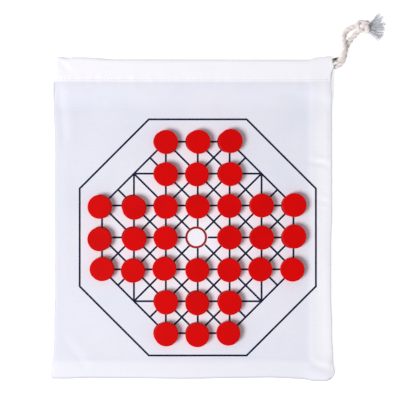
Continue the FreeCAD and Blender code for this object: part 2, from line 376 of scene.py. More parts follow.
class Effect:
    """A shader node group that is built once and placed in any material."""

    name = "effect"
    takes: tuple[tuple[str, str, float], ...] = ()
    gives: tuple[str, ...] = ()

    def group(self) -> bpy.types.NodeTree:
        """Returns the group, which is built the first time."""
        known = bpy.data.node_groups.get(self.name)
        if known is not None:
            return known
        tree = bpy.data.node_groups.new(self.name, "ShaderNodeTree")
        for name, kind, value in self.takes:
            socket = tree.interface.new_socket(name, in_out="INPUT", socket_type=kind)
            if kind == "NodeSocketFloat":
                socket.default_value = value
        for name in self.gives:
            tree.interface.new_socket(name, in_out="OUTPUT", socket_type="NodeSocketFloat")
        graph = Graph(tree)
        self.fill(graph, graph.node("NodeGroupInput"), graph.node("NodeGroupOutput"))
        return tree

    def fill(self, graph: Graph, given: bpy.types.Node, made: bpy.types.Node) -> None:
        """Adds the effect's own nodes between the group's inputs and outputs."""
        raise NotImplementedError

    def put(self, graph: Graph, place: bpy.types.NodeSocket, **values: float) -> bpy.types.Node:
        """Places the group in a material.

        Args:
            graph: the material's tree.
            place: the position that the effect reads.
            **values: the group's other inputs, by name.

        Returns:
            The group's node.
        """
        made = graph.node("Group", node_tree=self.group())
        graph.join(place, made.inputs["Place"])
        for name, value in values.items():
            made.inputs[name.replace("_", " ")].default_value = value
        return made


class PlainWeave(Effect):
    """Over-and-under threads, with the thicker slubs of plain cotton and broad uneven patches."""

    name = "plain_weave"
    takes = (
        ("Place", "NodeSocketVector", 0.0),
        ("Threads", "NodeSocketFloat", 12500.0),
        ("Slub Length", "NodeSocketFloat", 120.0),
        ("Slub Width", "NodeSocketFloat", 1100.0),
    )
    gives = ("Height", "Slub", "Patch")

    def fill(self, graph: Graph, given: bpy.types.Node, made: bpy.types.Node) -> None:
        """Adds the threads, the slubs and the patches."""
        split = graph.node("SeparateXYZ")
        graph.join(given.outputs["Place"], split.inputs["Vector"])
        threads = given.outputs["Threads"]
        warp = graph.sum("SINE", graph.sum("MULTIPLY", split.outputs["X"], threads))
        weft = graph.sum("SINE", graph.sum("MULTIPLY", split.outputs["Y"], threads))
        crossing = graph.sum("MULTIPLY", warp, weft)
        length, width = given.outputs["Slub Length"], given.outputs["Slub Width"]
        slub = graph.between(graph.noise(graph.stretched(split, length, width), 1.0, 1.0), 0.52, 0.74)
        ends = graph.between(graph.noise(graph.stretched(split, width, length), 1.0, 1.0), 0.6, 0.8)
        both = graph.sum("MAXIMUM", slub, graph.sum("MULTIPLY", ends, 0.5))
        raised = graph.sum("ADD", graph.sum("MULTIPLY", crossing, 0.35), both)
        graph.join(raised, made.inputs["Height"])
        graph.join(both, made.inputs["Slub"])
        patch = graph.noise(given.outputs["Place"], 26.0)
        graph.join(graph.between(patch, 0.35, 0.65), made.inputs["Patch"])


class CottonFibre(Effect):
    """The fuzz of loose cotton fibres, with uneven shade from one length of yarn to the next."""

    name = "cotton_fibre"
    takes = (
        ("Place", "NodeSocketVector", 0.0),
        ("Fineness", "NodeSocketFloat", 3000.0),
        ("Unevenness", "NodeSocketFloat", 420.0),
    )
    gives = ("Height", "Shade")

    def fill(self, graph: Graph, given: bpy.types.Node, made: bpy.types.Node) -> None:
        """Adds the fine fibres and the slow change of shade."""
        place = given.outputs["Place"]
        graph.join(graph.noise(place, given.outputs["Fineness"], 3.0), made.inputs["Height"])
        slow = graph.noise(place, given.outputs["Unevenness"])
        graph.join(graph.between(slow, 0.35, 0.68), made.inputs["Shade"])


class PaintedShadeSpot(Effect):
    """A spot of painted shade on yarn, with a ragged edge, that darkens the yarn where it lies in shadow.
    """

    name = "painted_shade_spot"
    takes = (("Place", "NodeSocketVector", 0.0), ("Reach", "NodeSocketFloat", 0.002))
    gives = ("Mask",)

    def fill(self, graph: Graph, given: bpy.types.Node, made: bpy.types.Node) -> None:
        """Adds the spot round the place's own middle, and its ragged edge."""
        place = given.outputs["Place"]
        away = graph.node("VectorMath", operation="LENGTH")
        graph.join(place, away.inputs[0])
        share = graph.sum("DIVIDE", away.outputs["Value"], given.outputs["Reach"])
        ragged = graph.sum("MULTIPLY", graph.noise(place, 1300.0), 0.9)
        graph.join(graph.between(graph.sum("ADD", share, ragged), 1.5, 0.9), made.inputs["Mask"])


class HandledPaint(Effect):
    """Paint on a turned piece: a faint skin of grain, a few specks and slow uneven depth."""

    name = "handled_paint"
    takes = (("Place", "NodeSocketVector", 0.0), ("Grain", "NodeSocketFloat", 900.0))
    gives = ("Height", "Depth", "Speck")

    def fill(self, graph: Graph, given: bpy.types.Node, made: bpy.types.Node) -> None:
        """Adds the skin, the depth and the specks."""
        place = given.outputs["Place"]
        graph.join(graph.noise(place, given.outputs["Grain"], 3.0), made.inputs["Height"])
        graph.join(graph.between(graph.noise(place, 55.0), 0.3, 0.7), made.inputs["Depth"])
        specks = graph.noise(place, 1500.0, 1.0)
        graph.join(graph.between(specks, 0.70, 0.76), made.inputs["Speck"])


# --- Finishes -----------------------------------------------------------------------------------------


@dataclass(frozen=True)
class Finish:
    """A material with its shader's plain settings."""

    name: str
    colour: Rgb
    roughness: float
    specular: float
    sheen: float = 0.0
    sheen_roughness: float = 0.6
    bump: float = 0.05 * MM

    def material(self) -> bpy.types.Material:
        """Returns the finish's material, which is built the first time."""
        known = bpy.data.materials.get(self.name)
        if known is not None:
            return known
        made = bpy.data.materials.new(self.name)
        made.use_nodes = True
        made.diffuse_color = (*self.colour, 1.0)
        shader = made.node_tree.nodes["Principled BSDF"]
        for name, value in (("Base Color", (*self.colour, 1.0)), ("Roughness", self.roughness),
                            ("Specular IOR Level", self.specular), ("Sheen Weight", self.sheen),
                            ("Sheen Roughness", self.sheen_roughness)):
            shader.inputs[name].default_value = value
        self.dress(Graph(made.node_tree), shader)
        return made

    def dress(self, graph: Graph, shader: bpy.types.Node) -> None:
        """Adds the finish's own nodes in front of its shader."""
        raise NotImplementedError

    def bumped(self, graph: Graph, shader: bpy.types.Node, height: bpy.types.NodeSocket) -> None:
        """Gives the shader a relief.

        Args:
            graph: the material's tree.
            shader: the material's shader.
            height: the relief, from about 0 to 1.
        """
        bump = graph.node("Bump")
        bump.inputs["Strength"].default_value = 1.0
        bump.inputs["Distance"].default_value = self.bump
        graph.join(height, bump.inputs["Height"])
        graph.join(bump.outputs["Normal"], shader.inputs["Normal"])


@dataclass(frozen=True)
class CottonCloth(Finish):
    """Bleached plain cotton, lighter where more cloth lies behind it, with painted light near the board's
    middle and painted shade on its pressed edges.
    """

    name: str = "bleached_cotton"
    colour: Rgb = (0.745, 0.77, 0.865)
    warm: Rgb = (0.785, 0.78, 0.87)
    doubled: Rgb = (0.93, 0.915, 0.975)
    slub: Rgb = (0.80, 0.815, 0.90)
    # Painted shade: the grey of the pressed and sewn edges, where the cloth rolls over.
    painted_edge_shade: Rgb = (0.50, 0.50, 0.54)
    roughness: float = 0.9
    specular: float = 0.12
    sheen: float = 0.05

    def dress(self, graph: Graph, shader: bpy.types.Node) -> None:
        """Adds the weave on the cloth's own UV map, the lighter doubled cloth, the painted light near the
        board's middle and the painted shade on the pressed edges.
        """
        place = graph.node("UVMap", uv_map="cloth").outputs["UV"]
        weave = PlainWeave().put(graph, place)
        # This attribute also carries painted light near the board's middle and painted shade on the pressed
        # edges.
        backing_painted_light_and_shade = graph.node("Attribute", attribute_name="backing_painted_light_and_shade").outputs["Fac"]
        plain = graph.tint(weave.outputs["Patch"], self.colour, self.warm)
        slubbed = graph.tint(graph.sum("MULTIPLY", weave.outputs["Slub"], 0.35), plain, self.slub)
        laid = graph.tint(backing_painted_light_and_shade, slubbed, self.doubled)
        # Painted shade on the pressed and sewn edges, where the backing is below 0.
        edge = graph.between(backing_painted_light_and_shade, 0.0, -1.0)
        graph.join(graph.tint(edge, laid, self.painted_edge_shade), shader.inputs["Base Color"])
        rough = graph.between(weave.outputs["Height"], 0.0, 1.0, self.roughness, self.roughness - 0.1)
        graph.join(rough, shader.inputs["Roughness"])
        self.bumped(graph, shader, weave.outputs["Height"])


@dataclass(frozen=True)
class CottonYarn(Finish):
    """Soft undyed cotton yarn, for the cord, its knot, its frayed ends and the sewing."""

    name: str = "cotton_yarn"
    colour: Rgb = (0.84, 0.785, 0.77)
    shade: Rgb = (0.67, 0.60, 0.59)
    roughness: float = 0.95
    specular: float = 0.08
    sheen: float = 0.08
    bump: float = 0.08 * MM
    fineness: float = 3200.0
    unevenness: float = 420.0
    shaded: float = 0.7
    # Painted shade: the dark colour of the spots where the cord lies in shadow.
    painted_shade: Rgb = (0.07, 0.05, 0.045)
    painted_shade_spots: tuple[tuple[Vector, float], ...] = ()

    def dress(self, graph: Graph, shader: bpy.types.Node) -> None:
        """Adds the fibres, the uneven shade and the spots of painted shade, each a place and its reach."""
        place = graph.node("TexCoord").outputs["Object"]
        fibre = CottonFibre().put(graph, place, Fineness=self.fineness, Unevenness=self.unevenness)
        mask = graph.sum("MULTIPLY", fibre.outputs["Shade"], self.shaded)
        shaded = graph.tint(mask, self.colour, self.shade)
        # Each spot is painted shade, which darkens the yarn towards the painted-shade colour.
        for middle, reach in self.painted_shade_spots:
            centred = graph.node("Mapping")
            graph.join(place, centred.inputs["Vector"])
            centred.inputs["Location"].default_value = -middle
            spot = PaintedShadeSpot().put(graph, centred.outputs["Vector"], Reach=reach)
            shaded = graph.tint(spot.outputs["Mask"], shaded, self.painted_shade)
        graph.join(shaded, shader.inputs["Base Color"])
        rough = graph.between(fibre.outputs["Height"], 0.2, 0.8, self.roughness, self.roughness - 0.15)
        graph.join(rough, shader.inputs["Roughness"])
        self.bumped(graph, shader, fibre.outputs["Height"])


@dataclass(frozen=True)
class PrintedInk(Finish):
    """Ink laid on cloth, a little thinner down between the threads."""

    name: str = "printed_ink"
    colour: Rgb = (0.003, 0.005, 0.036)
    thin: Rgb = (0.008, 0.012, 0.06)
    roughness: float = 0.75
    specular: float = 0.2
    bump: float = 0.03 * MM

    def dress(self, graph: Graph, shader: bpy.types.Node) -> None:
        """Adds the cloth's threads under the ink, and its thin places."""
        place = graph.node("TexCoord").outputs["Object"]
        weave = PlainWeave().put(graph, place)
        gaps = graph.between(weave.outputs["Height"], 0.05, -0.3)
        wear = graph.between(graph.noise(place, 700.0), 0.5, 0.75)
        mask = graph.sum("MULTIPLY", graph.sum("MAXIMUM", gaps, wear), 0.6)
        graph.join(graph.tint(mask, self.colour, self.thin), shader.inputs["Base Color"])
        graph.join(graph.between(wear, 0.0, 1.0, self.roughness, 0.88), shader.inputs["Roughness"])
        self.bumped(graph, shader, weave.outputs["Height"])


@dataclass(frozen=True)
class CounterPaint(Finish):
    """Satin red paint on a turned counter."""

    name: str = "satin_red"
    colour: Rgb = (0.68, 0.0022, 0.0025)
    deep: Rgb = (0.60, 0.0018, 0.002)
    speck: Rgb = (0.72, 0.012, 0.012)
    roughness: float = 0.36
    specular: float = 0.05
    bump: float = 0.02 * MM

    def dress(self, graph: Graph, shader: bpy.types.Node) -> None:
        """Adds the paint's skin, its uneven depth and its specks."""
        place = graph.node("TexCoord").outputs["Object"]
        paint = HandledPaint().put(graph, place)
        flat = graph.tint(paint.outputs["Depth"], self.colour, self.deep)
        mask = graph.sum("MULTIPLY", paint.outputs["Speck"], 0.5)
        graph.join(graph.tint(mask, flat, self.speck), shader.inputs["Base Color"])
        rough = graph.between(paint.outputs["Depth"], 0.0, 1.0, self.roughness, self.roughness + 0.1)
        graph.join(rough, shader.inputs["Roughness"])
        self.bumped(graph, shader, paint.outputs["Height"])


@dataclass(frozen=True)
class TableTop(Finish):
    """The plain pale table, which gives off a little light so that it stays white."""

    name: str = "pale_table"
    colour: Rgb = (0.94, 0.94, 0.94)
    roughness: float = 0.9
    specular: float = 0.05
    grain: Rgb = (0.95, 0.95, 0.95)
    glow: float = 0.5

    def dress(self, graph: Graph, shader: bpy.types.Node) -> None:
        """Adds a faint grain and the glow."""
        place = graph.node("TexCoord").outputs["Object"]
        mask = graph.noise(place, 60.0)
        graph.join(graph.tint(mask, self.colour, self.grain), shader.inputs["Base Color"])
        shader.inputs["Emission Color"].default_value = (1.0, 1.0, 1.0, 1.0)
        shader.inputs["Emission Strength"].default_value = self.glow


# --- Making pieces ------------------------------------------------------------------------------------


def put_in_scene(name: str, data: bpy.types.ID) -> bpy.types.Object:
    """Returns a new object of the scene, at the origin."""
    made = bpy.data.objects.new(name, data)
    bpy.context.scene.collection.objects.link(made)
    return made


def add_piece(name: str, mesh: bpy.types.Mesh, finish: Finish,
              nodes: Sequence[str] = ()) -> bpy.types.Object:
    """Puts a mesh in the scene as a piece of the bag.

    Args:
        name: the piece's name.
        mesh: its mesh, in place.
        finish: what it is dressed in.
        nodes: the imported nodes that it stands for.

    Returns:
        The piece's object.
    """
    mesh.name = name
    mesh.materials.clear()
    mesh.materials.append(finish.material())
    mesh.shade_smooth()
    piece = put_in_scene(name, mesh)
    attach(piece, BAG)
    if nodes:
        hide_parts(*nodes)
    log.info("%s: %d faces", name, len(mesh.polygons))
    return piece


def finished_mesh(shape: bmesh.types.BMesh) -> bpy.types.Mesh:
    """Returns a mesh made from a bmesh, which is freed."""
    mesh = bpy.data.meshes.new("piece")
    shape.to_mesh(mesh)
    shape.free()
    return mesh


def mesh_of(curve: bpy.types.Curve) -> bpy.types.Mesh:
    """Returns a curve's finished mesh, and removes the curve."""
    holder = bpy.data.objects.new("curve", curve)
    mesh = bpy.data.meshes.new_from_object(holder)
    bpy.data.objects.remove(holder)
    bpy.data.curves.remove(curve)
    return mesh


def give_thickness(piece: bpy.types.Object, thickness: float) -> None:
    """Gives a sheet its thickness, half on each side."""
    solid = piece.modifiers.new("thickness", "SOLIDIFY")
    solid.thickness = thickness
    solid.offset = 0.0


def surface_of(piece: bpy.types.Object) -> BVHTree:
    """Returns a tree of a piece's finished surface, to lay other pieces on."""
    bpy.context.view_layer.update()
    return BVHTree.FromObject(piece, bpy.context.evaluated_depsgraph_get())


def height_on(surface: BVHTree, place: Vector, otherwise: float) -> float:
    """Finds the top of a surface.

    Args:
        surface: the surface.
        place: where to look, in plan.
        otherwise: the height to give where nothing is found.

    Returns:
        The height of the surface there.
    """
    hit = surface.ray_cast(Vector((place.x, place.y, ABOVE_ALL)), Vector((0, 0, -1)))[0]
    return otherwise if hit is None else hit.z


# --- Cord and yarn ------------------------------------------------------------------------------------


class Route:
    """A smooth line through the plan of a cord, read back as evenly spaced points."""

    def __init__(self, corners: Sequence[Vector], step: float = 0.7 * MM) -> None:
        """Reads the NURBS line of the corners.

        Args:
            corners: the control points.
            step: how far apart the points are.
        """
        self.points = self.spaced(self.smooth(corners), step)

    @staticmethod
    def smooth(corners: Sequence[Vector]) -> list[Vector]:
        """Returns the points of the NURBS line through its control points."""
        data = bpy.data.curves.new("route", "CURVE")
        data.dimensions = "3D"
        line = data.splines.new("NURBS")
        line.points.add(len(corners) - 1)
        for point, corner in zip(line.points, corners):
            point.co = (*corner, 1.0)
        line.order_u = 3
        line.use_endpoint_u = True
        line.resolution_u = 24
        mesh = mesh_of(data)
        points = [vertex.co.copy() for vertex in mesh.vertices]
        bpy.data.meshes.remove(mesh)
        return points

    @staticmethod
    def spaced(points: Sequence[Vector], step: float) -> list[Vector]:
        """Returns points along a line, evenly spaced."""
        lengths = [0.0]
        for first, second in zip(points, points[1:]):
            lengths.append(lengths[-1] + (second - first).length)
        count = max(2, round(lengths[-1] / step))
        found: list[Vector] = []
        index = 0
        for number in range(count + 1):
            want = lengths[-1] * number / count
            while index < len(points) - 2 and lengths[index + 1] < want:
                index += 1
            span = max(lengths[index + 1] - lengths[index], 1e-9)
            found.append(points[index].lerp(points[index + 1], (want - lengths[index]) / span))
        return found

    @property
    def length(self) -> float:
        """The line's length in metres."""
        return sum((second - first).length for first, second in zip(self.points, self.points[1:]))


def frames_along(points: Sequence[Vector]) -> list[tuple[Vector, Vector]]:
    """Carries two crosswise directions along a line without twisting them.

    Args:
        points: the line's points.

    Returns:
        The two directions at each point.
    """
    heading = (points[1] - points[0]).normalized()
    side = heading.cross(Vector((0, 0, 1)))
    if side.length < 0.1:
        side = heading.cross(Vector((0, 1, 0)))
    side.normalize()
    frames: list[tuple[Vector, Vector]] = []
    for index, point in enumerate(points):
        before = points[max(index - 1, 0)]
        after = points[min(index + 1, len(points) - 1)]
        ahead = (after - before).normalized()
        side = heading.rotation_difference(ahead) @ side
        heading = ahead
        frames.append((side.copy(), ahead.cross(side).normalized()))
    return frames


def turned_about(points: Sequence[Vector], away: Sequence[float], lay: float,
                 start: float) -> list[Vector]:
    """Winds a line round another line.

    Args:
        points: the line in the middle.
        away: how far from each point the new line lies.
        lay: the length of one turn.
        start: the angle where it starts.

    Returns:
        The new line's points.
    """
    wound: list[Vector] = []
    gone = 0.0
    for index, (side, up) in enumerate(frames_along(points)):
        gone += (points[index] - points[max(index - 1, 0)]).length
        turn = start + math.tau * gone / lay
        wound.append(points[index] + (side * math.cos(turn) + up * math.sin(turn)) * away[index])
    return wound


@dataclass
class Strand:
    """One strand of yarn, as its middle line and its radius at each point."""

    points: list[Vector]
    radii: list[float]
    swell: float


def yarn_mesh(strands: Sequence[Strand], fineness: int) -> bpy.types.Mesh:
    """Makes closed tubes along strands.

    Args:
        strands: the strands.
        fineness: the tubes' bevel resolution.

    Returns:
        One mesh with every tube, its faces outwards.
    """
    data = bpy.data.curves.new("yarn", "CURVE")
    data.dimensions = "3D"
    data.bevel_depth = 1.0
    data.bevel_resolution = fineness
    data.use_fill_caps = True
    for number, strand in enumerate(strands):
        line = data.splines.new("POLY")
        line.points.add(len(strand.points) - 1)
        for index, (point, place, radius) in enumerate(zip(line.points, strand.points, strand.radii)):
            uneven = noise.noise(Vector((index * 0.35, number * 5.3, 1.7)))
            point.co = (*place, 1.0)
            point.radius = radius * (1.0 + strand.swell * uneven)
    shape = bmesh.new()
    mesh = mesh_of(data)
    shape.from_mesh(mesh)
    bpy.data.meshes.remove(mesh)
    bmesh.ops.recalc_face_normals(shape, faces=shape.faces)
    return finished_mesh(shape)


@dataclass
class TwistedCord:
    """A limp cotton cord of three plies, laid loosely together, that swells where nothing holds it."""

    diameter: float = 4.9 * MM
    plies: int = 3
    ply_share: float = 0.59
    away_share: float = 0.205
    lay: float = 13 * MM
    swell: float = 0.12

    def strands(self, points: Sequence[Vector], start: float = 0.0, squeezed: float = 1.0,
                over: float = 0.0) -> list[Strand]:
        """Lays the cord's plies along a line.

        Args:
            points: the cord's middle line.
            start: the angle of its first ply.
            squeezed: the share of its full diameter that it has at its start.
            over: the length over which it swells to its full diameter, or 0 if it never does.

        Returns:
            The plies.
        """
        gone = 0.0
        girths: list[float] = []
        for before, point in zip([points[0], *points], points):
            gone += (point - before).length
            share = lerp(squeezed, 1.0, eased(0.0, over, gone)) if over else squeezed
            girths.append(self.diameter * share)
        away = [girth * self.away_share for girth in girths]
        radii = [girth * self.ply_share / 2 for girth in girths]
        laid: list[Strand] = []
        for ply in range(self.plies):
            line = turned_about(points, away, self.lay, start + math.tau * ply / self.plies)
            laid.append(Strand(line, radii, self.swell))
        return laid


@dataclass
class DrawCord:
    """The drawstring: the length held in the casings, and its two free ends up to the knot."""

    plan: BagPlan
    outline: Outline
    yarn: CottonYarn
    cord: TwistedCord = field(default_factory=TwistedCord)
    exit_run: float = 2.2 * MM
    held_run: float = 6 * MM
    turn_in: float = 0.45
    front_corners: Corners = (
        (5.8, 1.5, 2.7), (7.6, 4.5, 3.6), (8.4, 8.2, 3.7), (8.4, 12.2, 3.0), (8.0, 16.6, 1.2),
        (8.6, 20.8, 0.0), (10.9, 24.3, 0.1), (15.1, 26.4, 0.5), (20.0, 28.1, 1.3),
    )
    back_corners: Corners = (
        (4.4, 1.1, 0.1), (7.3, 3.7, 0.0), (8.8, 7.7, 0.0), (9.4, 12.3, 0.0), (10.7, 16.9, 0.0),
        (13.8, 21.5, 0.0), (17.4, 25.8, 0.3), (21.1, 29.5, 1.1),
    )
    front_start: float = 0.4
    back_start: float = 1.5
    squeezed: float = 0.74
    held_share: float = 0.66
    swells_over: float = 7 * MM
    lifted: float = 0.5 * MM
    follows_from: float = 2 * MM
    follows_by: float = 16 * MM

    def tail_route(self, leaves: Vector, held_from: Vector, corners: Corners) -> Route:
        """Returns a free end's line: straight out of its casing, and then round its corners."""
        heading = (leaves - held_from).normalized()
        line = [leaves, leaves + heading * self.exit_run]
        for corner in in_metres(corners):
            height = self.plan.cord / 2 + corner.z + self.lifted
            line.append(Vector((leaves.x + corner.x, leaves.y + corner.y, height)))
        return Route(line)

    def held(self) -> None:
        """Makes the length that the casings hold."""
        plan = self.plan
        down = (plan.back_turn - plan.front_turn).normalized() * (plan.turn_width * self.turn_in)
        run = Vector((self.held_run, 0, 0))
        line = [plan.front_exit, plan.front_exit - Vector((8 * MM, 0, 0)), plan.front_turn + run,
                plan.front_turn, plan.front_turn + down, plan.back_turn, plan.back_turn + run,
                plan.back_exit]
        points: list[Vector] = []
        for point in Route(line, 1.8 * MM).points:
            moves = eased(plan.right - self.follows_from, plan.right - self.follows_by, point.x)
            points.append(point.lerp(self.outline.lay(plan, point), moves))
        mesh = yarn_mesh(self.cord.strands(points, squeezed=self.held_share), 0)
        add_piece("held_drawstring", mesh, self.yarn, ["drawstring"])

    def tail(self, name: str, node: str, leaves: Vector, held_from: Vector, corners: Corners,
             start: float) -> None:
        """Args:
            name: the piece's name.
            node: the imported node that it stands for.
            leaves: where it leaves its casing.
            held_from: where its held run comes from.
            corners: the route's corners.
            start: the angle of its first ply.
        """
        route = self.tail_route(leaves, held_from, corners)
        mesh = yarn_mesh(self.cord.strands(route.points, start, self.squeezed, self.swells_over), 2)
        piece = add_piece(name, mesh, self.yarn, [node])
        round(route.length, 4)
        log.info("%s: %.1f mm", name, route.length / MM)

    def build(self, knot: bpy.types.Object, tassel: bpy.types.Object) -> None:
        """Makes the held length and both free ends.

        Args:
            knot: the knot that ties the ends; not used.
            tassel: the frayed ends past it; not used.
        """
        plan = self.plan
        self.tail("front_cord_end", "front_tail", plan.front_exit, plan.front_turn,
                  self.front_corners, self.front_start)
        self.tail("back_cord_end", "back_tail", plan.back_exit, plan.back_turn,
                  self.back_corners, self.back_start)
        self.held()


@dataclass
class EndKnot:
    """The overhand knot that ties both ends together, pulled tight with both cords in it."""

    yarn: CottonYarn
    strand: TwistedCord = field(default_factory=lambda: TwistedCord(diameter=3.9 * MM, lay=11 * MM))
    apart: float = 1.3 * MM
    spare_share: float = 0.35
    pair_lay: float = 60 * MM
    leans: float = 0.45
    turned: float = 0.35
    depth: float = 2.2
    steps: int = 96
    past_closing: float = 1.02
    pulled: tuple[float, float, float] = (-1.2 * MM, -0.5 * MM, 0.0)

    def middle_line(self, room: Vector) -> list[Vector]:
        """Returns the knot's line inside a room of the given half sizes, about its middle."""
        turns: list[Vector] = []
        lean = Matrix.Rotation(self.turned, 3, "Z") @ Matrix.Rotation(self.leans, 3, "X")
        for step in range(self.steps + 1):
            angle = math.tau * step / self.steps * self.past_closing
            spot = Vector((math.sin(angle) + 2 * math.sin(2 * angle),
                           math.cos(angle) - 2 * math.cos(2 * angle), -self.depth * math.sin(3 * angle)))
            turns.append(lean @ (spot / 3))
        low = [min(spot[axis] for spot in turns) for axis in range(3)]
        high = [max(spot[axis] for spot in turns) for axis in range(3)]
        line: list[Vector] = []
        for spot in turns:
            shares = [(spot[axis] - low[axis]) / (high[axis] - low[axis]) for axis in range(3)]
            line.append(Vector([lerp(-half, half, share) for half, share in zip(room, shares)]))
        return line

    def build(self) -> bpy.types.Object:
        """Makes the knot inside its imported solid's box, and returns it."""
        low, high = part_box("tail_knot")
        middle = (low + high) / 2 + Vector(self.pulled)
        spare = self.strand.diameter / 2 + self.apart * self.spare_share
        room = (high - low) / 2 - Vector((spare, spare, spare))
        line = Route.spaced([middle + spot for spot in self.middle_line(room)], 0.5 * MM)
        strands: list[Strand] = []
        for side in (0.0, math.pi):
            one = turned_about(line, [self.apart] * len(line), self.pair_lay, side)
            strands.extend(self.strand.strands(one, side))
        return add_piece("end_knot", yarn_mesh(strands, 1), self.yarn, ["tail_knot"])


@dataclass
class FrayedEnds:
    """The cords' frayed ends, which fan out flat past the knot like a small brush."""

    yarn: CottonYarn
    count: int = 120
    radius: float = 0.2 * MM
    short: float = 14.3 * MM
    fan_from: float = math.radians(-45)
    fan_to: float = math.radians(55)
    stray: float = 0.025
    root_in: float = 2.3 * MM
    root_down: float = 2.2 * MM
    longest: float = 1.33
    tufts: float = 31.0
    tuft_start: float = 0.8
    behind: tuple[float, float] = (-1.6 * MM, -0.6 * MM)
    root_half: float = 1.0 * MM
    root_heights: tuple[float, float] = (1.4 * MM, 4.3 * MM)
    tip_heights: tuple[float, float] = (0.35 * MM, 2.6 * MM)
    sway: float = 0.28 * MM
    lift: float = 0.16 * MM
    floor_gap: float = 0.05 * MM
    steps: int = 12
    thins_from: float = 0.6
    tip_share: float = 0.6
    swell: float = 0.2
    seed: int = 11

    def one(self, draw: random.Random, root: Vector) -> Strand:
        """Lays one yarn from the knot to the fan's edge.

        Args:
            draw: the source of chance.
            root: the middle of the yarns where they leave the knot.

        Returns:
            The yarn.
        """
        spread = draw.random()
        angle = lerp(self.fan_from, self.fan_to, spread) + draw.gauss(0, self.stray)
        tuft = 0.95 + 0.05 * math.sin(spread * self.tufts + self.tuft_start)
        far = self.short * lerp(1.0, self.longest, spread ** 2) * tuft * draw.uniform(0.94, 1.0)
        layer = draw.random()
        aside = lerp(-self.root_half, self.root_half, spread)
        start = root + Vector((draw.uniform(*self.behind), aside, 0))
        start.z = lerp(*self.root_heights, layer)
        end = root + Vector((math.cos(angle) * far, math.sin(angle) * far, 0))
        end.z = lerp(*self.tip_heights, layer ** 1.4)
        across = Vector((-math.sin(angle), math.cos(angle), 0))
        phase = draw.uniform(0, math.tau)
        waves = draw.uniform(2.0, 4.0)
        girth = self.radius * draw.uniform(0.8, 1.2)
        points: list[Vector] = []
        radii: list[float] = []
        for step in range(self.steps + 1):
            share = step / self.steps
            spot = start.lerp(end, share)
            loose = share * (1 - 0.3 * share)
            spot += across * (math.sin(phase + waves * math.tau * share) * self.sway * loose)
            spot.z += math.cos(phase * 1.7 + waves * math.tau * share) * self.lift * loose
            spot.z = max(spot.z, self.radius + self.floor_gap)
            points.append(spot)
            radii.append(girth * lerp(1.0, self.tip_share, eased(self.thins_from, 1.0, share)))
        return Strand(points, radii, self.swell)

    def build(self) -> bpy.types.Object:
        """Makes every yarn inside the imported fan's box, and returns the piece."""
        knot_low, knot_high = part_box("tail_knot")
        middle = (knot_low + knot_high) / 2
        root = Vector((knot_high.x - self.root_in, middle.y - self.root_down, 0))
        draw = random.Random(self.seed)
        strands = [self.one(draw, root) for _ in range(self.count)]
        return add_piece("frayed_ends", yarn_mesh(strands, 0), self.yarn, ["tail_tassel"])


# --- The cloth ----------------------------------------------------------------------------------------


@dataclass(frozen=True)
class Crease:
    """A soft fold line in the laid cloth, in millimetres: its two ends, its depth and its width."""

    start: tuple[float, float]
    end: tuple[float, float]
    depth: float
    width: float

    def at(self, x: float, y: float) -> float:
        """Returns how far the cloth is moved up at a place, all in millimetres."""
        along = Vector((self.end[0] - self.start[0], self.end[1] - self.start[1]))
        away = Vector((x - self.start[0], y - self.start[1]))
        length = along.length
        share = away.dot(along) / (length * length)
        side = (along.x * away.y - along.y * away.x) / length
        if abs(side) > 6 * self.width or not -0.3 < share < 1.3:
            return 0.0
        fade = eased(-0.25, 0.35, share) * eased(1.3, 0.95, share)
        valley = math.exp(-(side / self.width) ** 2)
        ridge = math.exp(-((side - 2.1 * self.width) / (1.3 * self.width)) ** 2)
        return self.depth * fade * (0.55 * ridge - valley)


@dataclass(frozen=True)
class Puff:
    """A soft swelling of the laid cloth, in millimetres: its middle, its radii and its height."""

    middle: tuple[float, float]
    radii: tuple[float, float]
    height: float

    def at(self, x: float, y: float) -> float:
        """Returns how far the cloth is lifted at a place, all in millimetres."""
        across = (x - self.middle[0]) / self.radii[0]
        up = (y - self.middle[1]) / self.radii[1]
        return self.height * math.exp(-across * across - up * up)


